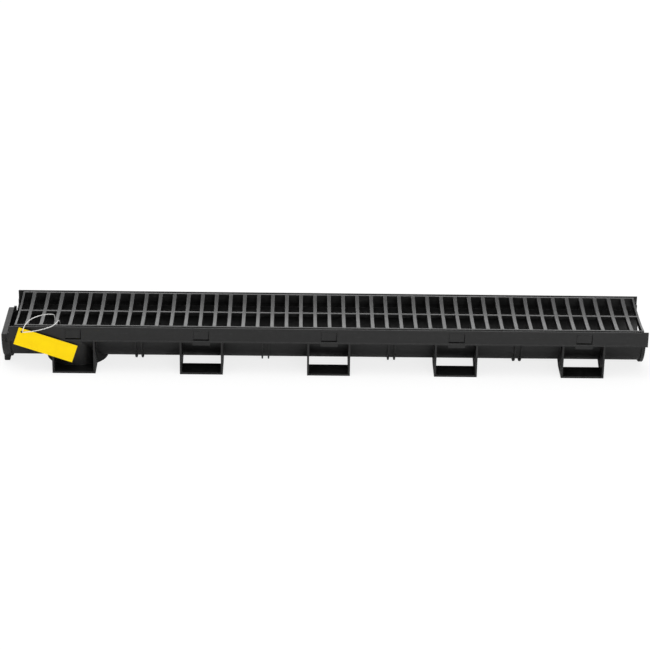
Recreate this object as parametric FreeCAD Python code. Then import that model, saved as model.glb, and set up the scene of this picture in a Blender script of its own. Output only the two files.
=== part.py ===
import FreeCAD, Part
import math
import os
from FreeCAD import Vector

# A one-metre surface drain for paths and driveways: a moulded channel with a
# half-round trough, a bar grating clipped in flush with the rim, a push-on end
# cap, and a blank hang tag on a loop of string.
# X runs along the channel, Y across it and Z up. The origin is on the ground,
# under the middle of the channel with its cap. All sizes are in millimetres.

os.makedirs("parts", exist_ok=True)

# Two places closer than this are the same one.
SAME_PLACE = 0.01

# ---- Channel: overall section ----
CHANNEL_LENGTH = 1000.0
CHANNEL_WIDTH = 145.0
CHANNEL_HEIGHT = 79.0
SKIRT_WALL = 3.0
SKIRT_EDGE_R = 0.8
SKIRT_LIP_HEIGHT = 2.4
SKIRT_LIP_REACH = 0.7
SEAT_WALL = 3.0
SEAT_BEARING = 2.0
RISER_WALL = 2.8
SHELF_DROP = 7.7
SHELF_WALL = 3.0
TROUGH_WIDTH = 97.0
TROUGH_WALL = 2.8
BELLY_CLEARANCE = 4.3

# ---- Channel: feet, ribs and pipe socket ----
FOOT_PITCH = 200.0
FIRST_FOOT = 100.0
FOOT_LENGTH = 67.5
FOOT_PLATE = 3.0
FOOT_SLAB = 3.0
FOOT_SLAB_DEPTH = 35.0
FOOT_ARCH_BASE = 56.0
FOOT_ARCH_TOP = 24.0
RIB_WALL = 2.2
RIB_SPACING = 9.9
SOCKET_WIDTH = 97.0
SOCKET_WALL = 3.0
SOCKET_CLEARANCE = 0.8

# ---- Channel: ends ----
SPIGOT_LENGTH = 11.7
COLLAR_WALL = 4.0
COLLAR_GAP = 1.6
COLLAR_EAR_DROP = 19.4
MOUTH_BEAD_LENGTH = 5.0
MOUTH_BEAD_HEIGHT = 3.0

# ---- Channel: snap windows ----
WINDOW_WIDTH = 25.0
WINDOW_TOP_DROP = 4.8
WINDOW_SLOT = 2.4
WINDOW_WIDE_SIDE_SLOT = 1.3
WINDOW_SIDE_SLOT = 0.6
WINDOW_HINGE_GROOVE = 0.5
WINDOW_GROOVE_DEPTH = 0.8
WINDOW_SILL = 0.2
APRON_WIDTH = 27.0
APRON_DROP = 4.5

# ---- Grate ----
GRATE_DEPTH = 13.5
GRATE_SIDE_GAP = 4.0
GRATE_CAP_END_GAP = 8.6
GRATE_OPEN_END_GAP = 6.4
RAIL_WALL = 3.5
END_BAR_WALL = 3.0
BAR_TOP = 6.3
BAR_FOOT = 4.6
BAR_CHAMFER = 0.6
BAR_PITCH = 22.57
FIRST_BAR = 18.3
SPINE_WALL = 4.5
SPINE_DEPTH = 5.5
SPINE_SINK = 0.4
DISH_DEPTH = 3.4

# ---- Snap hooks under the grate rails ----
HOOK_WIDTH = 18.0
HOOK_WALL = 2.0
HOOK_CLEARANCE = 0.4
HOOK_BARB_REACH = 1.4
HOOK_BARB_HEIGHT = 0.9

# ---- End cap ----
CAP_WALL = 3.2
CAP_FIT = 0.3
CAP_END_WALL = 2.6
CAP_PAD_WIDTH = 54.0
CAP_EDGE = 1.2
CAP_TOP_DROP = 0.8
CAP_PAD_HEIGHT = 9.9
CAP_NOTCH_LENGTH = 2.4
CAP_NOTCH_HEIGHT = 7.0

# ---- Hang tag and string ----
TAG_LENGTH = 95.5
TAG_WIDTH = 30.0
TAG_THICKNESS = 0.6
TAG_TILT = 18.8
TAG_STANDOFF = 2.5
TAG_HOLE_R = 2.0
TAG_HOLE_FROM_END = 6.2
TAG_HOLE_FROM_SIDE = 5.8
TAG_HOLE_X = 20.8
TAG_HOLE_DROP = 7.0
STRING_DIAMETER = 1.2
KNOT_R = 2.8
KNOT_LENGTH = 2.8
KNOT_CHAMFER = 0.5
BEND_SHARE = 0.45

# ---- Derived heights, above the ground ----
RIM_Z = CHANNEL_HEIGHT
SEAT_Z = RIM_Z - GRATE_DEPTH
SHELF_Z = SEAT_Z - SHELF_DROP
SKIRT_FOOT_Z = SHELF_Z - SHELF_WALL

# ---- Derived half widths ----
SKIRT_Y = CHANNEL_WIDTH / 2
SKIRT_FACE_Y = SKIRT_Y - SKIRT_LIP_REACH
SKIRT_INNER_Y = SKIRT_Y - SKIRT_WALL
GRATE_Y = SKIRT_INNER_Y - GRATE_SIDE_GAP
SEAT_INNER_Y = GRATE_Y - SEAT_BEARING
RISER_OUTER_Y = SEAT_INNER_Y + RISER_WALL
TROUGH_R = TROUGH_WIDTH / 2
BORE_R = TROUGH_R - TROUGH_WALL
TROUGH_AXIS_Z = BELLY_CLEARANCE + TROUGH_R

# ---- Derived stations along the channel ----
CAP_REACH = SPIGOT_LENGTH + CAP_FIT + CAP_END_WALL
CHANNEL_START = -(CHANNEL_LENGTH - CAP_REACH) / 2
CHANNEL_END = CHANNEL_START + CHANNEL_LENGTH
COLLAR_START = CHANNEL_START - COLLAR_GAP - COLLAR_WALL
CAP_START = CHANNEL_START - CAP_REACH
FOOT_COUNT = int((CHANNEL_LENGTH - FIRST_FOOT - FOOT_LENGTH / 2) / FOOT_PITCH) + 1
FEET = [CHANNEL_START + FIRST_FOOT + i * FOOT_PITCH for i in range(FOOT_COUNT)]
RIB_PAIRS = [x + FOOT_PITCH / 2 for x in FEET[:-1]]

# ---- Derived cap and collar outline ----
CAP_R = TROUGH_R + CAP_FIT + CAP_WALL
CAP_TOP_Z = SHELF_Z - CAP_TOP_DROP
SPIGOT_TOP_Z = CAP_TOP_Z - CAP_WALL - CAP_FIT
CAP_NOTCH_Z = SPIGOT_TOP_Z - CAP_NOTCH_HEIGHT / 2 - CAP_WALL

# ---- Derived place of the tag's eyelet hole ----
TAG_HOLE = Vector(CHANNEL_START + TAG_HOLE_X, -SKIRT_Y - TAG_STANDOFF, RIM_Z - TAG_HOLE_DROP)


def block(x0, x1, y0, y1, z0, z1):
    return Part.makeBox(x1 - x0, y1 - y0, z1 - z0, Vector(x0, y0, z0))


def both_sides(x0, x1, y0, y1, z0, z1):
    """The same block on both sides of the channel's middle plane."""
    return [block(x0, x1, y0, y1, z0, z1), block(x0, x1, -y1, -y0, z0, z1)]


def prism(points, x0, x1):
    """A prism along X from a closed outline of (y, z) points."""
    corners = [Vector(x0, y, z) for y, z in points]
    face = Part.Face(Part.makePolygon(corners + corners[:1]))
    return face.extrude(Vector(x1 - x0, 0, 0))


def trough_form(radius, top_z, x0, x1):
    """A solid U: a half round about the trough axis, with upright sides to top_z."""
    left_top = Vector(x0, -radius, top_z)
    left = Vector(x0, -radius, TROUGH_AXIS_Z)
    lowest = Vector(x0, 0, TROUGH_AXIS_Z - radius)
    right = Vector(x0, radius, TROUGH_AXIS_Z)
    right_top = Vector(x0, radius, top_z)
    edges = [
        Part.LineSegment(left_top, left).toShape(),
        Part.Arc(left, lowest, right).toShape(),
        Part.LineSegment(right, right_top).toShape(),
        Part.LineSegment(right_top, left_top).toShape(),
    ]
    return Part.Face(Part.Wire(edges)).extrude(Vector(x1 - x0, 0, 0))


def along_x(shape, places):
    """The shape's edges that run along X through one of the (y, z) places."""
    found = []
    for edge in shape.Edges:
        ends = [v.Point for v in edge.Vertexes]
        if len(ends) != 2 or abs(ends[0].x - ends[1].x) < 1:
            continue
        if any(all(math.hypot(p.y - y, p.z - z) < SAME_PLACE for p in ends) for y, z in places):
            found.append(edge)
    return found


# ---- Channel ----
def skirt_lip(x0, x1):
    """The foot of both skirts, a little proud of their faces, with a sloping top."""
    slope_foot = SKIRT_FOOT_Z + SKIRT_LIP_HEIGHT - SKIRT_LIP_REACH
    outline = [
        (-SKIRT_Y, SKIRT_FOOT_Z),
        (SKIRT_Y, SKIRT_FOOT_Z),
        (SKIRT_Y, slope_foot),
        (SKIRT_FACE_Y, slope_foot + SKIRT_LIP_REACH),
        (-SKIRT_FACE_Y, slope_foot + SKIRT_LIP_REACH),
        (-SKIRT_Y, slope_foot),
    ]
    return prism(outline, x0, x1)


def channel_shell():
    """The skirts, grate seats, shelves and trough, as one extruded section."""
    x0, x1 = CHANNEL_START, CHANNEL_END
    head = block(x0, x1, -SKIRT_FACE_Y, SKIRT_FACE_Y, SKIRT_FOOT_Z, RIM_Z)
    head = head.makeFillet(SKIRT_EDGE_R, along_x(head, [(-SKIRT_FACE_Y, RIM_Z), (SKIRT_FACE_Y, RIM_Z)]))
    outer = head.fuse([skirt_lip(x0, x1), trough_form(TROUGH_R, SHELF_Z, x0, x1)])
    hollows = [
        block(x0, x1, -SKIRT_INNER_Y, SKIRT_INNER_Y, SEAT_Z, RIM_Z),
        block(x0, x1, -SEAT_INNER_Y, SEAT_INNER_Y, SHELF_Z, SEAT_Z),
        trough_form(BORE_R, SHELF_Z, x0, x1),
    ]
    core_top = SEAT_Z - SEAT_WALL
    hollows += both_sides(x0, x1, RISER_OUTER_Y, SKIRT_INNER_Y, SKIRT_FOOT_Z, core_top)
    return outer.cut(hollows)


def foot(x):
    """Two plates round the trough, joined at the ground by a slab on each side."""
    x0, x1 = x - FOOT_LENGTH / 2, x + FOOT_LENGTH / 2
    plates = [
        block(x0, x0 + FOOT_PLATE, -SKIRT_Y, SKIRT_Y, 0, SKIRT_FOOT_Z),
        block(x1 - FOOT_PLATE, x1, -SKIRT_Y, SKIRT_Y, 0, SKIRT_FOOT_Z),
    ]
    slabs = both_sides(x0, x1, SKIRT_Y - FOOT_SLAB_DEPTH, SKIRT_Y, 0, FOOT_SLAB)
    arch_height = TROUGH_AXIS_Z - math.sqrt(TROUGH_R**2 - (FOOT_ARCH_TOP / 2) ** 2)
    arch = prism(
        [
            (-FOOT_ARCH_BASE / 2, 0),
            (FOOT_ARCH_BASE / 2, 0),
            (FOOT_ARCH_TOP / 2, arch_height),
            (-FOOT_ARCH_TOP / 2, arch_height),
        ],
        x0,
        x1,
    )
    return [plate.cut(arch) for plate in plates] + slabs


def band(radius, x0, x1, top_z=SKIRT_FOOT_Z):
    """Material that follows the outside of the trough, out to radius."""
    return trough_form(radius, top_z, x0, x1)


def rib_pair(x):
    """Two stiffening ribs side by side, standing as proud as the belly allows."""
    ribs = []
    for side in (-1, 1):
        middle = x + side * RIB_SPACING / 2
        rib_r = TROUGH_R + BELLY_CLEARANCE
        ribs.append(band(rib_r, middle - RIB_WALL / 2, middle + RIB_WALL / 2))
    return ribs


def pipe_socket(x):
    """The round wall under the trough that a down pipe pushes into."""
    foot_point = Vector(x, 0, SOCKET_CLEARANCE)
    return Part.makeCylinder(SOCKET_WIDTH / 2, TROUGH_AXIS_Z - SOCKET_CLEARANCE, foot_point)


def pipe_way(x):
    """The room that the down pipe takes, up to the belly of the trough."""
    way = Part.makeCylinder(SOCKET_WIDTH / 2 - SOCKET_WALL, TROUGH_AXIS_Z, Vector(x, 0, 0))
    return way.cut(trough_form(TROUGH_R, SHELF_Z, x - SOCKET_WIDTH, x + SOCKET_WIDTH))


def collar():
    """The stop for the end cap, with an ear standing up on each side."""
    x0, x1 = COLLAR_START, COLLAR_START + COLLAR_WALL
    ear_top = RIM_Z - COLLAR_EAR_DROP
    rim = band(CAP_R, x0, x1, ear_top)
    return rim.cut(trough_form(TROUGH_R, ear_top, x0, x1))


def spigot():
    """The trough carried on past the skirts for the end cap to push on to."""
    x0 = CHANNEL_START - SPIGOT_LENGTH
    return trough_form(TROUGH_R, SPIGOT_TOP_Z, x0, CHANNEL_START)


def spigot_catches():
    """The nubs on the spigot that spring into the end cap's notches."""
    x1 = COLLAR_START - CAP_FIT
    x0 = x1 - CAP_NOTCH_LENGTH + 2 * CAP_FIT
    half = CAP_NOTCH_HEIGHT / 2 - CAP_FIT
    nub_y = TROUGH_R + CAP_WALL / 2
    return both_sides(x0, x1, BORE_R, nub_y, CAP_NOTCH_Z - half, CAP_NOTCH_Z + half)


def window_cuts(x):
    """Slots that free a springy tongue in each skirt, and the hole for the hook."""
    x0, x1 = x - WINDOW_WIDTH / 2, x + WINDOW_WIDTH / 2
    slot_foot = SHELF_Z + WINDOW_SILL
    slot_top = slot_foot + WINDOW_SLOT
    hinge = RIM_Z - WINDOW_TOP_DROP
    groove_y = SKIRT_FACE_Y - WINDOW_GROOVE_DEPTH
    cuts = both_sides(x0, x1, SKIRT_INNER_Y, SKIRT_Y, slot_foot, slot_top)
    cuts += both_sides(x1 - WINDOW_WIDE_SIDE_SLOT, x1, SKIRT_INNER_Y, SKIRT_Y, slot_top, hinge)
    cuts += both_sides(x0, x0 + WINDOW_SIDE_SLOT, SKIRT_INNER_Y, SKIRT_Y, slot_top, hinge)
    cuts += both_sides(x0, x1, groove_y, SKIRT_Y, hinge, hinge + WINDOW_HINGE_GROOVE)
    hook_hole = (SEAT_Z - SEAT_WALL, SEAT_Z)
    cuts += both_sides(x0, x1, RISER_OUTER_Y, SKIRT_INNER_Y, *hook_hole)
    return cuts


def apron(x):
    """The skirt carried lower, in front of each snap window."""
    x0, x1 = x - APRON_WIDTH / 2, x + APRON_WIDTH / 2
    top_z = SKIRT_FOOT_Z + SKIRT_LIP_HEIGHT / 2
    return both_sides(x0, x1, SKIRT_INNER_Y, SKIRT_Y, SKIRT_FOOT_Z - APRON_DROP, top_z)


def channel():
    additions = [spigot(), collar(), pipe_socket(FEET[0])]
    bead_r = TROUGH_R + MOUTH_BEAD_HEIGHT
    additions.append(band(bead_r, CHANNEL_END - MOUTH_BEAD_LENGTH, CHANNEL_END))
    cuts = [trough_form(BORE_R, RIM_Z, CAP_START, CHANNEL_END), pipe_way(FEET[0])]
    for x in FEET:
        additions += foot(x) + apron(x)
        cuts += window_cuts(x)
    for x in RIB_PAIRS:
        additions += rib_pair(x)
    body = channel_shell().fuse(additions).cut(cuts)
    return body.fuse(spigot_catches()).removeSplitter()


# ---- Grate ----
def dish():
    """The round hollow that the top of the grate follows, deepest over the spine."""
    half = GRATE_Y - RAIL_WALL
    radius = (half**2 + DISH_DEPTH**2) / (2 * DISH_DEPTH)
    start = Vector(CHANNEL_START, 0, RIM_Z - DISH_DEPTH + radius)
    return Part.makeCylinder(radius, CHANNEL_LENGTH, start, Vector(1, 0, 0))


def crossbar(x, hollow):
    """One bar across the channel: slightly tapered and dished, with eased top edges."""
    top, low = BAR_TOP / 2, BAR_FOOT / 2
    outline = [(-low, SEAT_Z), (low, SEAT_Z), (top, RIM_Z), (-top, RIM_Z)]
    reach = GRATE_Y - RAIL_WALL / 2
    corners = [Vector(x + across, -reach, z) for across, z in outline]
    face = Part.Face(Part.makePolygon(corners + corners[:1]))
    bar = face.extrude(Vector(0, 2 * reach, 0)).cut(hollow)
    long_edges = [e for e in bar.Edges if e.BoundBox.YLength > reach]
    half_way_up = (SEAT_Z + RIM_Z) / 2
    top_edges = [e for e in long_edges if e.BoundBox.ZMin > half_way_up]
    return bar.makeChamfer(BAR_CHAMFER, top_edges)


def hook(x):
    """A snap hook on each rail, with its barb in the skirt's window slot."""
    x0, x1 = x - HOOK_WIDTH / 2, x + HOOK_WIDTH / 2
    outer = SKIRT_INNER_Y - HOOK_CLEARANCE
    barb_foot = SHELF_Z + WINDOW_SILL + WINDOW_SLOT - HOOK_CLEARANCE - HOOK_BARB_HEIGHT
    root = SEAT_Z + HOOK_CLEARANCE
    root_top = root + 2 * HOOK_WALL
    pieces = both_sides(x0, x1, GRATE_Y - RAIL_WALL / 2, outer, root, root_top)
    pieces += both_sides(x0, x1, outer - HOOK_WALL, outer, barb_foot, root_top)
    barb = [
        (outer, barb_foot),
        (outer + HOOK_BARB_REACH / 2, barb_foot),
        (outer + HOOK_BARB_REACH, barb_foot + HOOK_BARB_HEIGHT),
        (outer, barb_foot + HOOK_BARB_HEIGHT),
    ]
    pieces.append(prism(barb, x0, x1))
    pieces.append(prism([(-y, z) for y, z in reversed(barb)], x0, x1))
    return pieces


def grate():
    x0 = CHANNEL_START + GRATE_CAP_END_GAP
    x1 = CHANNEL_END - GRATE_OPEN_END_GAP
    rails = both_sides(x0, x1, GRATE_Y - RAIL_WALL, GRATE_Y, SEAT_Z, RIM_Z)
    hollow = dish()
    first_end = block(x0, x0 + END_BAR_WALL, -GRATE_Y, GRATE_Y, SEAT_Z, RIM_Z)
    last_end = block(x1 - END_BAR_WALL, x1, -GRATE_Y, GRATE_Y, SEAT_Z, RIM_Z)
    ends = [first_end.cut(hollow), last_end.cut(hollow)]
    spine_top = RIM_Z - DISH_DEPTH - SPINE_SINK
    spine = block(x0, x1, -SPINE_WALL / 2, SPINE_WALL / 2, spine_top - SPINE_DEPTH, spine_top)
    bar_count = int((x1 - x0 - FIRST_BAR - END_BAR_WALL - BAR_TOP) / BAR_PITCH) + 1
    bars = [crossbar(x0 + FIRST_BAR + i * BAR_PITCH, hollow) for i in range(bar_count)]
    hooks = [piece for x in FEET for piece in hook(x)]
    return rails[0].fuse(rails[1:] + ends + [spine] + bars + hooks).removeSplitter()


# ---- End cap ----
def end_cap():
    """A shallow tray over the spigot, standing on a flat pad under its belly."""
    shell = trough_form(CAP_R, CAP_TOP_Z, CAP_START, COLLAR_START)
    pad_y = CAP_PAD_WIDTH / 2
    pad = block(CAP_START, COLLAR_START, -pad_y, pad_y, 0, CAP_PAD_HEIGHT)
    body = shell.fuse(pad).removeSplitter()
    outer_face = [e for e in body.Edges if all(abs(v.X - CAP_START) < SAME_PLACE for v in e.Vertexes)]
    body = body.makeChamfer(CAP_EDGE, outer_face)
    hollow_start = CAP_START + CAP_END_WALL
    hollow = trough_form(TROUGH_R + CAP_FIT, SPIGOT_TOP_Z + CAP_FIT, hollow_start, COLLAR_START)
    notches = both_sides(
        COLLAR_START - CAP_NOTCH_LENGTH,
        COLLAR_START,
        TROUGH_R - CAP_WALL,
        CAP_R,
        CAP_NOTCH_Z - CAP_NOTCH_HEIGHT / 2,
        CAP_NOTCH_Z + CAP_NOTCH_HEIGHT / 2,
    )
    return body.cut([hollow] + notches)


# ---- Hang tag ----
def hang_tag():
    """A blank card, turned about its eyelet hole and standing just off the skirt."""
    tag = Part.makeBox(
        TAG_LENGTH,
        TAG_THICKNESS,
        TAG_WIDTH,
        Vector(-TAG_HOLE_FROM_END, -TAG_THICKNESS, TAG_HOLE_FROM_SIDE - TAG_WIDTH),
    )
    hole_start = Vector(0, -2 * TAG_THICKNESS, 0)
    hole = Part.makeCylinder(TAG_HOLE_R, 3 * TAG_THICKNESS, hole_start, Vector(0, 1, 0))
    tag = tag.cut(hole)
    tag.rotate(Vector(0, 0, 0), Vector(0, 1, 0), TAG_TILT)
    tag.translate(TAG_HOLE)
    return tag


# ---- Tag string ----
# The string's corner points, from the knot behind the tag, over the rim, round
# one bar of the grate and back to the knot. X is from the channel's closed end.
STRING_ROUTE = [
    (21.4, -75.0, 72.6),
    (21.4, -77.8, 72.6),
    (23.3, -79.4, 77.2),
    (26.1, -78.6, 84.2),
    (30.3, -73.0, 88.0),
    (37.8, -65.0, 91.0),
    (47.5, -56.5, 91.3),
    (57.6, -49.0, 89.6),
    (66.2, -42.6, 86.9),
    (65.8, -37.4, 80.2),
    (64.6, -35.8, 70.4),
    (66.9, -36.6, 60.6),
    (75.6, -40.4, 59.4),
    (79.8, -45.0, 67.8),
    (80.4, -50.6, 77.6),
    (78.7, -59.4, 82.9),
    (76.4, -67.4, 83.2),
    (72.7, -75.0, 82.5),
    (67.0, -79.6, 81.8),
    (58.6, -80.4, 79.7),
    (46.8, -79.2, 75.6),
    (34.4, -77.8, 72.1),
    (26.2, -78.8, 71.1),
    (20.4, -77.8, 71.4),
    (20.4, -75.0, 71.4),
]


def string_path():
    """Straight runs joined by tangent arcs, each as wide as its two runs allow."""
    points = [Vector(CHANNEL_START + x, y, z) for x, y, z in STRING_ROUTE]
    edges = []
    radii = []
    last = points[0]
    for before, corner, after in zip(points, points[1:], points[2:]):
        back = before - corner
        ahead = after - corner
        shorter = min(back.Length, ahead.Length)
        back.normalize()
        ahead.normalize()
        turn = math.pi - back.getAngle(ahead)
        setback = BEND_SHARE * shorter
        radius = setback / math.tan(turn / 2)
        radii.append(round(radius, 1))
        start = corner + back * setback
        end = corner + ahead * setback
        bisector = back + ahead
        bisector.normalize()
        crown_depth = radius / math.cos(turn / 2) - radius
        crown = corner + bisector * crown_depth
        edges.append(Part.LineSegment(last, start).toShape())
        edges.append(Part.Arc(start, crown, end).toShape())
        last = end
    edges.append(Part.LineSegment(last, points[-1]).toShape())
    print("string bend radii, mm:", radii)
    return Part.Wire(edges), points


def tag_string():
    path, points = string_path()
    first_run = points[1] - points[0]
    circle = Part.makeCircle(STRING_DIAMETER / 2, points[0], first_run)
    tube = path.makePipeShell([Part.Wire(circle)], True, False)
    section = math.pi * STRING_DIAMETER**2 / 4
    print("string length, mm:", round(path.Length, 1))
    print("string volume over section times length:", round(tube.Volume / section / path.Length, 4))
    return tube


def string_knot():
    """The overhand knot behind the tag that holds both ends of the string."""
    knot = Part.makeCylinder(KNOT_R, KNOT_LENGTH, TAG_HOLE, Vector(0, 1, 0))
    far_y = TAG_HOLE.y + KNOT_LENGTH
    far_edge = [e for e in knot.Edges if e.Closed and abs(e.Vertexes[0].Y - far_y) < SAME_PLACE]
    return knot.makeChamfer(KNOT_CHAMFER, far_edge)


NODES = {
    "channel_body": channel,
    "grate": grate,
    "end_cap": end_cap,
    "hang_tag": hang_tag,
    "tag_string": tag_string,
    "string_knot": string_knot,
}

for name, make in NODES.items():
    shape = make()
    shape.exportStep(f"parts/{name}.step")
    box = shape.BoundBox
    print(
        f"{name}: valid {shape.isValid()}, {len(shape.Solids)} solid, {shape.Volume / 1000:.1f} cm3,"
        f" x {box.XMin:.1f}..{box.XMax:.1f}, y {box.YMin:.1f}..{box.YMax:.1f},"
        f" z {box.ZMin:.2f}..{box.ZMax:.2f}"
    )
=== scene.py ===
import math

import bpy
from mathutils import Matrix, Vector

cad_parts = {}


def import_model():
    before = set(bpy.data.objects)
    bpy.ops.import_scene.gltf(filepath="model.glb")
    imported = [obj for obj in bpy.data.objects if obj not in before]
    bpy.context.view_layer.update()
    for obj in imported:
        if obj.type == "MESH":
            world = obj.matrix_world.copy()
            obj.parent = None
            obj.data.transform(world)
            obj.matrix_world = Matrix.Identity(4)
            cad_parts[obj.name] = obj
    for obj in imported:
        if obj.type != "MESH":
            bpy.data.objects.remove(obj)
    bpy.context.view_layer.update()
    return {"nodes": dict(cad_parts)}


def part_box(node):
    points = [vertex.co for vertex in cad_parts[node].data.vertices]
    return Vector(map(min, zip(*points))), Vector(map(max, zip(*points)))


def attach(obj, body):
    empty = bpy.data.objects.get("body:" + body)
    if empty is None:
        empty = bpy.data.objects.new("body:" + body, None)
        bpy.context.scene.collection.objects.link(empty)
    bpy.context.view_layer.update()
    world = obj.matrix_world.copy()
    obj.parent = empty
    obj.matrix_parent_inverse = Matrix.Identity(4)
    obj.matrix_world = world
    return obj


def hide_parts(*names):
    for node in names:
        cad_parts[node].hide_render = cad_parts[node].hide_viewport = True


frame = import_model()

# A black moulded channel drain with a bar grating, an end cap, and a blank yellow hang
# tag on white string. Lengths are in metres, in the part's own frame: X along the
# channel from its capped end, Y away from the tagged side, Z up from the ground.

NODES = frame["nodes"]
MM = 0.001

# ---- Places taken from the frame ----
CHANNEL_LENGTH = 1.0
CHANNEL_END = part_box("channel_body")[1].x
CHANNEL_START = CHANNEL_END - CHANNEL_LENGTH
RIM_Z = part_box("channel_body")[1].z
MIDDLE = Vector((0.0, 0.0, RIM_Z / 2))

# ---- Camera ----
CAMERA_PLACE = Vector((-0.0450, -3.3553, 1.5807))
CAMERA_YAW = -0.0139
CAMERA_PITCH = 0.4268
CAMERA_ROLL = 0.0161
CAMERA_LENS = 128.14
CAMERA_REACH = 60.0
SENSOR_WIDTH = 36.0

# ---- Light ----
WORLD_LEVEL = 0.55
KEY_POWER = 38.0
KEY_SIZE = 2.4
KEY_PLACE = Vector((-0.5, -0.6, 3.0))
FILL_POWER = 44.0
FILL_SIZE = 2.0
FILL_PLACE = Vector((0.9, -3.2, 1.1))
BACK_POWER = 28.0
BACK_WIDTH = 4.4
BACK_HEIGHT = 1.1
BACK_PLACE = Vector((0.0, 4.2, 1.15))
# Glossy surfaces see the world greyer towards the front and overhead. Each span runs
# over the part of the direction's unit length where the level changes.
FRONT_MIRROR_LEVEL = 0.45
FRONT_MIRROR_SPAN = (-0.6, 0.4)
TOP_MIRROR_LEVEL = 0.45
TOP_MIRROR_SPAN = (0.2, 0.8)

# ---- Floor ----
FLOOR_HALF_WIDTH = 12.0
FLOOR_TONE = 0.8
FLOOR_GLOW = 1.05
FLOOR_SHADOW_SHARE = 0.25
SHADOW_FADE_START = 0.9
SHADOW_FADE_END = 2.5

# ---- Finish ----
EDGE_SAMPLES = 6
EDGE_LIKENESS = (0.995, 0.86)
PLASTIC_EDGE_R = 0.7 * MM
PLASTIC_RELIEF = 0.03 * MM
CARD_EDGE_R = 0.3 * MM
CARD_RELIEF = 0.02 * MM
CARD_GLOSS = 0.15
CARD_DEEP = (0.96, 0.66, 0.0, 1.0)
CARD_BRIGHT = (1.0, 0.71, 0.001, 1.0)
CARD_FIBRE = (0.92, 0.58, 0.0, 1.0)
CARD_CUT_EDGE = (1.0, 0.83, 0.3, 1.0)
STRING_RELIEF = 0.15 * MM
STRING_SHEEN = 0.2
# Painted shade for the creases between the plies.
STRING_CREASE_SHADE = (0.5, 0.5, 0.48, 1.0)
STRING_COTTON = (0.86, 0.86, 0.84, 1.0)
STRING_FUZZ_TONE = 0.95
TWIST_PITCH = 3.8 * MM

# ---- String ----
STRING_DIAMETER = 0.0012
STRING_LENGTH = 0.21
STRING_ORDER = 3
STRING_STEPS = 16
STRING_ROUND_STEPS = 4
# From the knot behind the tag, over the rim, round one bar and back to the knot.
# X is from the channel's closed end, in millimetres.
STRING_ROUTE = [
    (21.95, -75.0, 72.75),
    (22.0, -77.6, 73.1),
    (23.6, -79.4, 77.4),
    (26.0, -78.6, 84.2),
    (30.3, -73.0, 88.2),
    (37.6, -65.0, 91.0),
    (46.8, -56.5, 91.2),
    (56.0, -47.0, 89.4),
    (64.0, -36.6, 85.2),
    (68.0, -29.2, 81.0),
    (67.9, -28.6, 71.5),
    (69.2, -30.2, 62.2),
    (74.6, -33.2, 60.2),
    (76.7, -36.6, 66.8),
    (76.8, -43.6, 77.0),
    (76.6, -52.6, 82.4),
    (75.2, -63.0, 83.6),
    (71.8, -72.6, 83.4),
    (66.4, -78.6, 82.3),
    (58.4, -80.2, 80.2),
    (46.8, -79.2, 76.4),
    (35.0, -78.2, 73.6),
    (27.0, -78.8, 73.2),
    (22.2, -77.6, 71.8),
    (21.95, -75.0, 71.4),
]
KNOT_SPREAD = 0.75 * MM
KNOT_DEPTH = 0.7 * MM
KNOT_POINTS = 18
KNOT_LENGTH = 0.025
KNOT_PLACE = Vector((CHANNEL_START + 23.4 * MM, -73.6 * MM, 72.0 * MM))


# ---- Node helpers ----
def plug(tree, socket, value):
    """Sets a socket, or links it when the value is another node's output."""
    if isinstance(value, bpy.types.NodeSocket):
        tree.links.new(value, socket)
    else:
        socket.default_value = value


def node(tree, kind, inputs, **settings):
    """Adds a shader node with its settings and its inputs."""
    made = tree.nodes.new("ShaderNode" + kind)
    for name, value in settings.items():
        setattr(made, name, value)
    for socket, value in inputs.items():
        plug(tree, made.inputs[socket], value)
    return made


def calc(tree, operation, first, second):
    return node(tree, "Math", {0: first, 1: second}, operation=operation).outputs[0]


def plus(tree, first, second):
    return calc(tree, "ADD", first, second)


def times(tree, first, second):
    return calc(tree, "MULTIPLY", first, second)


def span(tree, value, low, high, to_low=0.0, to_high=1.0):
    """The value carried from low..high on to to_low..to_high, and held there."""
    ends = {"Value": value, "From Min": low, "From Max": high}
    ends.update({"To Min": to_low, "To Max": to_high})
    return node(tree, "MapRange", ends).outputs[0]


def blend(tree, factor, first, second):
    """A colour between two colours."""
    made = node(tree, "Mix", {0: factor}, data_type="RGBA")
    plug(tree, made.inputs[6], first)
    plug(tree, made.inputs[7], second)
    return made.outputs[2]


def grey(level):
    return (level, level, level, 1.0)


def own_place(tree):
    """Where a point lies on the object, in metres."""
    return node(tree, "TexCoord", {}).outputs["Object"]


def noise(tree, place, scale, detail=4.0, stretch=(1.0, 1.0, 1.0)):
    """Noise with scale features to the metre, drawn out where stretch is under 1."""
    drawn = node(tree, "Mapping", {"Vector": place, "Scale": stretch})
    wanted = {"Vector": drawn.outputs[0], "Scale": scale, "Detail": detail}
    return node(tree, "TexNoise", wanted).outputs[0]


def emboss(tree, shader, height, strength, depth, normal=None):
    """Gives the shader a fine relief, on top of a rounded normal where there is one."""
    wanted = {"Height": height, "Strength": strength, "Distance": depth}
    if normal is not None:
        wanted["Normal"] = normal
    plug(tree, shader.inputs["Normal"], node(tree, "Bump", wanted).outputs[0])


def empty_material(name):
    made = bpy.data.materials.new(name)
    made.use_nodes = True
    tree = made.node_tree
    return made, tree, tree.nodes["Principled BSDF"]


def dress(name, material):
    """Gives a CAD node its material."""
    mesh = NODES[name].data
    mesh.materials.clear()
    mesh.materials.append(material)


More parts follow.
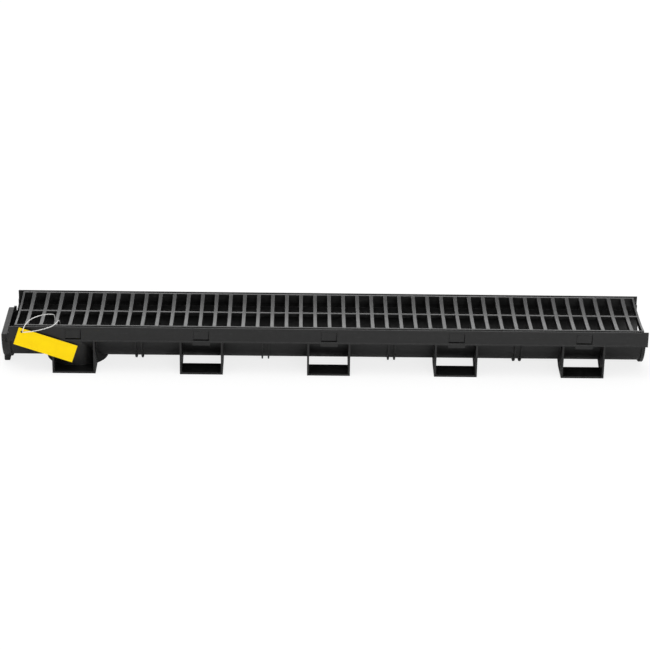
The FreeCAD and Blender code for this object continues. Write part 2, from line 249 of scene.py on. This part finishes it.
# ---- Materials ----
def edge_mask(tree, radius):
    """1 on edges that wear, 0 on open faces, and the rounded normal."""
    rounded = node(tree, "Bevel", {"Radius": radius}, samples=EDGE_SAMPLES)
    flat = node(tree, "NewGeometry", {})
    normals = {0: rounded.outputs[0], 1: flat.outputs["Normal"]}
    likeness = node(tree, "VectorMath", normals, operation="DOT_PRODUCT")
    return span(tree, likeness.outputs["Value"], *EDGE_LIKENESS), rounded.outputs[0]


def moulded_plastic(name, dark, light, wear_and_light_tone, roughness, gloss, top_dust_and_light):
    """Black plastic as moulded: cloudy tone, fine grain, faint drag marks, rubbed edges, and paler
    upward faces, partly dust and partly painted light.
    """
    made, tree, shader = empty_material(name)
    place = own_place(tree)
    facing = node(tree, "NewGeometry", {}).outputs["Normal"]
    up = node(tree, "SeparateXYZ", {0: facing}).outputs[2]

    cloud = noise(tree, place, 9.0, stretch=(0.5, 1.0, 1.0))
    mottle = noise(tree, place, 140.0)
    grain = noise(tree, place, 1500.0, detail=2.0)
    drag = noise(tree, place, 700.0, detail=2.0, stretch=(0.03, 1.0, 1.0))
    rubbed, rounded = edge_mask(tree, PLASTIC_EDGE_R)

    tone = plus(tree, times(tree, cloud, 0.6), times(tree, mottle, 0.4))
    colour = blend(tree, span(tree, tone, 0.36, 0.64), grey(dark), grey(light))
    patches = span(tree, mottle, 0.45, 0.65, 0.0, 0.35)
    scuffs = times(tree, span(tree, drag, 0.6, 0.72), patches)
    colour = blend(tree, scuffs, colour, grey(wear_and_light_tone))
    wear = times(tree, rubbed, span(tree, mottle, 0.35, 0.6, 0.15, 0.7))
    colour = blend(tree, wear, colour, grey(wear_and_light_tone))
    # Upward faces are painted paler: partly settled dust, partly painted light on the tops.
    dust_and_light_patches = span(tree, mottle, 0.3, 0.7, 0.4, 1.0)
    dust_and_lit_top = times(tree, span(tree, up, 0.75, 1.0), dust_and_light_patches)
    colour = blend(tree, times(tree, dust_and_lit_top, top_dust_and_light), colour, grey(wear_and_light_tone))
    plug(tree, shader.inputs["Base Color"], colour)

    matt = span(tree, tone, 0.35, 0.65, roughness - 0.05, roughness + 0.06)
    plug(tree, shader.inputs["Roughness"], plus(tree, matt, times(tree, scuffs, 0.3)))
    shader.inputs["Specular IOR Level"].default_value = gloss

    fine = plus(tree, grain, times(tree, drag, 0.5))
    relief = plus(tree, fine, times(tree, cloud, 3.0))
    emboss(tree, shader, relief, 0.8, PLASTIC_RELIEF, rounded)
    return made


def tag_card():
    """Smooth yellow card with a little fibre in it, paler along its cut edges."""
    made, tree, shader = empty_material("tag_card")
    place = own_place(tree)
    fibre = noise(tree, place, 900.0, stretch=(0.25, 1.0, 1.0))
    cloud = noise(tree, place, 45.0)
    rubbed, rounded = edge_mask(tree, CARD_EDGE_R)
    colour = blend(tree, span(tree, cloud, 0.35, 0.65), CARD_DEEP, CARD_BRIGHT)
    colour = blend(tree, span(tree, fibre, 0.56, 0.75, 0.0, 0.25), colour, CARD_FIBRE)
    colour = blend(tree, times(tree, rubbed, 0.4), colour, CARD_CUT_EDGE)
    plug(tree, shader.inputs["Base Color"], colour)
    plug(tree, shader.inputs["Roughness"], span(tree, cloud, 0.3, 0.7, 0.5, 0.62))
    shader.inputs["Specular IOR Level"].default_value = CARD_GLOSS
    emboss(tree, shader, fibre, 0.5, CARD_RELIEF, rounded)
    return made


def white_string(name, length):
    """Two-ply cotton: slanting strands with painted shade in the creases, and loose fibre."""
    made, tree, shader = empty_material(name)
    along = node(tree, "TexCoord", {}).outputs["UV"]
    parts = node(tree, "SeparateXYZ", {0: along})
    turns = times(tree, parts.outputs[0], length / TWIST_PITCH)
    ply = plus(tree, turns, times(tree, parts.outputs[1], 2.0))
    strand_relief_and_crease_shade = span(tree, calc(tree, "PINGPONG", ply, 0.5), 0.0, 0.3)
    fuzz = noise(tree, own_place(tree), 3500.0)
    # The strand profile also paints shade into the creases between the strands.
    colour = blend(tree, strand_relief_and_crease_shade, STRING_CREASE_SHADE, STRING_COTTON)
    loose = span(tree, fuzz, 0.35, 0.65, 0.0, 0.3)
    colour = blend(tree, loose, colour, grey(STRING_FUZZ_TONE))
    plug(tree, shader.inputs["Base Color"], colour)
    plug(tree, shader.inputs["Roughness"], span(tree, fuzz, 0.3, 0.7, 0.75, 0.95))
    shader.inputs["Sheen Weight"].default_value = STRING_SHEEN
    height = plus(tree, strand_relief_and_crease_shade, times(tree, fuzz, 0.4))
    emboss(tree, shader, height, 0.9, STRING_RELIEF)
    return made


# ---- Pieces ----
def round_string(name, node_name, points, closed, length):
    """String along a smooth NURBS line, in place of the CAD node."""
    curve = bpy.data.curves.new(name, "CURVE")
    curve.dimensions = "3D"
    spline = curve.splines.new("NURBS")
    spline.points.add(len(points) - 1)
    for point, place in zip(spline.points, points):
        point.co = (*place, 1.0)
    spline.order_u = STRING_ORDER
    spline.use_endpoint_u = not closed
    spline.use_cyclic_u = closed
    spline.resolution_u = STRING_STEPS
    curve.bevel_depth = STRING_DIAMETER / 2
    curve.bevel_resolution = STRING_ROUND_STEPS
    curve.use_fill_caps = not closed
    curve.materials.append(white_string(name, length))
    piece = bpy.data.objects.new(name, curve)
    bpy.context.scene.collection.objects.link(piece)
    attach(piece, "root")
    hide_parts(node_name)
    return piece


def knot():
    """A trefoil knot behind the tag, pulled up on the right of the eyelet hole."""
    points = []
    for i in range(KNOT_POINTS):
        t = 2 * math.pi * i / KNOT_POINTS
        across = KNOT_SPREAD * (math.sin(t) + 2 * math.sin(2 * t))
        deep = KNOT_DEPTH * math.sin(3 * t)
        up = KNOT_SPREAD * (math.cos(t) - 2 * math.cos(2 * t))
        points.append(KNOT_PLACE + Vector((across, deep, up)))
    return round_string("knot", "string_knot", points, True, KNOT_LENGTH)


def tag_string(knot_piece):
    """The string's loop, from the knot, round one bar of the grate and back."""
    points = [Vector((CHANNEL_START + x * MM, y * MM, z * MM)) for x, y, z in STRING_ROUTE]
    piece = round_string("hang_string", "tag_string", points, False, STRING_LENGTH)


# ---- Surroundings ----
def straight_rays(tree, path):
    """1 for rays from the camera, also where they pass through glass."""
    return calc(tree, "MAXIMUM", path.outputs["Is Camera Ray"], path.outputs["Is Transmission Ray"])


def world():
    """White where it is seen, dimmer as light, and greyer in mirrors in front and overhead."""
    made = bpy.data.worlds.new("studio")
    made.use_nodes = True
    tree = made.node_tree
    path = node(tree, "LightPath", {})
    direction = node(tree, "TexCoord", {}).outputs["Generated"]
    towards = node(tree, "SeparateXYZ", {0: direction})
    from_front = span(tree, towards.outputs[1], *FRONT_MIRROR_SPAN, FRONT_MIRROR_LEVEL, 1.0)
    from_top = span(tree, towards.outputs[2], *TOP_MIRROR_SPAN, 1.0, TOP_MIRROR_LEVEL)
    level = times(tree, from_front, from_top)
    change = calc(tree, "SUBTRACT", level, WORLD_LEVEL)
    strength = plus(tree, times(tree, path.outputs["Is Glossy Ray"], change), WORLD_LEVEL)
    strength = calc(tree, "MAXIMUM", strength, straight_rays(tree, path))
    background = tree.nodes["Background"]
    background.inputs["Color"].default_value = grey(1.0)
    plug(tree, background.inputs["Strength"], strength)
    bpy.context.scene.world = made


def floor():
    """A wide white sheet at the ground. It keeps part of the drain's shadow, fading outwards."""
    mesh = bpy.data.meshes.new("floor")
    sides = ((-1, -1), (1, -1), (1, 1), (-1, 1))
    corners = [(x * FLOOR_HALF_WIDTH, y * FLOOR_HALF_WIDTH, 0.0) for x, y in sides]
    mesh.from_pydata(corners, [], [(0, 1, 2, 3)])
    piece = bpy.data.objects.new("floor", mesh)
    bpy.context.scene.collection.objects.link(piece)

    made, tree, shader = empty_material("floor")
    tree.nodes.remove(shader)
    path = node(tree, "LightPath", {})
    straight = straight_rays(tree, path)
    seen = calc(tree, "MAXIMUM", straight, path.outputs["Is Glossy Ray"])
    tone = blend(tree, seen, grey(FLOOR_TONE), grey(1.0))
    sheet = node(tree, "BsdfDiffuse", {"Color": tone})
    glow = node(tree, "Emission", {"Color": grey(1.0), "Strength": FLOOR_GLOW})
    away = node(tree, "VectorMath", {0: own_place(tree)}, operation="LENGTH").outputs["Value"]
    near_share = 1.0 - FLOOR_SHADOW_SHARE
    bright = span(tree, away, SHADOW_FADE_START, SHADOW_FADE_END, near_share, 1.0)
    share = times(tree, straight, bright)
    mixed = node(tree, "MixShader", {0: share, 1: sheet.outputs[0], 2: glow.outputs[0]})
    tree.links.new(mixed.outputs[0], tree.nodes["Material Output"].inputs["Surface"])
    mesh.materials.append(made)


def softbox(name, place, width, height, power):
    """A rectangular lamp turned to the drain's middle, and not itself seen."""
    lamp = bpy.data.lights.new(name, "AREA")
    lamp.shape = "RECTANGLE"
    lamp.size = width
    lamp.size_y = height
    lamp.energy = power
    piece = bpy.data.objects.new(name, lamp)
    piece.location = place
    piece.rotation_euler = (MIDDLE - place).to_track_quat("-Z", "Y").to_euler()
    piece.visible_camera = False
    bpy.context.scene.collection.objects.link(piece)


def camera():
    """A long lens in front of and above the drain, turned and rolled very slightly."""
    sin_yaw, cos_yaw = math.sin(CAMERA_YAW), math.cos(CAMERA_YAW)
    sin_pitch, cos_pitch = math.sin(CAMERA_PITCH), math.cos(CAMERA_PITCH)
    ahead = Vector((-sin_yaw * cos_pitch, cos_yaw * cos_pitch, -sin_pitch))
    right = Vector((cos_yaw, sin_yaw, 0.0))
    turned = Matrix((right, right.cross(ahead), -ahead)).transposed()
    roll = Matrix.Rotation(CAMERA_ROLL, 3, "Z")
    data = bpy.data.cameras.new("camera")
    data.lens = CAMERA_LENS
    data.sensor_width = SENSOR_WIDTH
    data.clip_end = CAMERA_REACH
    piece = bpy.data.objects.new("camera", data)
    piece.matrix_world = Matrix.Translation(CAMERA_PLACE) @ (turned @ roll).to_4x4()
    bpy.context.scene.collection.objects.link(piece)
    bpy.context.scene.camera = piece


channel_plastic = moulded_plastic(
    "channel_plastic", dark=0.004, light=0.009, wear_and_light_tone=0.045, roughness=0.42, gloss=0.35, top_dust_and_light=0.0
)
cap_plastic = moulded_plastic(
    "cap_plastic", dark=0.004, light=0.008, wear_and_light_tone=0.045, roughness=0.42, gloss=0.3, top_dust_and_light=0.0
)
grate_plastic = moulded_plastic(
    "grate_plastic", dark=0.006, light=0.013, wear_and_light_tone=0.07, roughness=0.34, gloss=0.45, top_dust_and_light=0.05
)
dress("channel_body", channel_plastic)
dress("end_cap", cap_plastic)
dress("grate", grate_plastic)
dress("hang_tag", tag_card())
tag_string(knot())

world()
floor()
softbox("key", KEY_PLACE, KEY_SIZE, KEY_SIZE, KEY_POWER)
softbox("fill", FILL_PLACE, FILL_SIZE, FILL_SIZE, FILL_POWER)
softbox("back", BACK_PLACE, BACK_WIDTH, BACK_HEIGHT, BACK_POWER)
camera()

bpy.context.scene.view_settings.view_transform = "Standard"
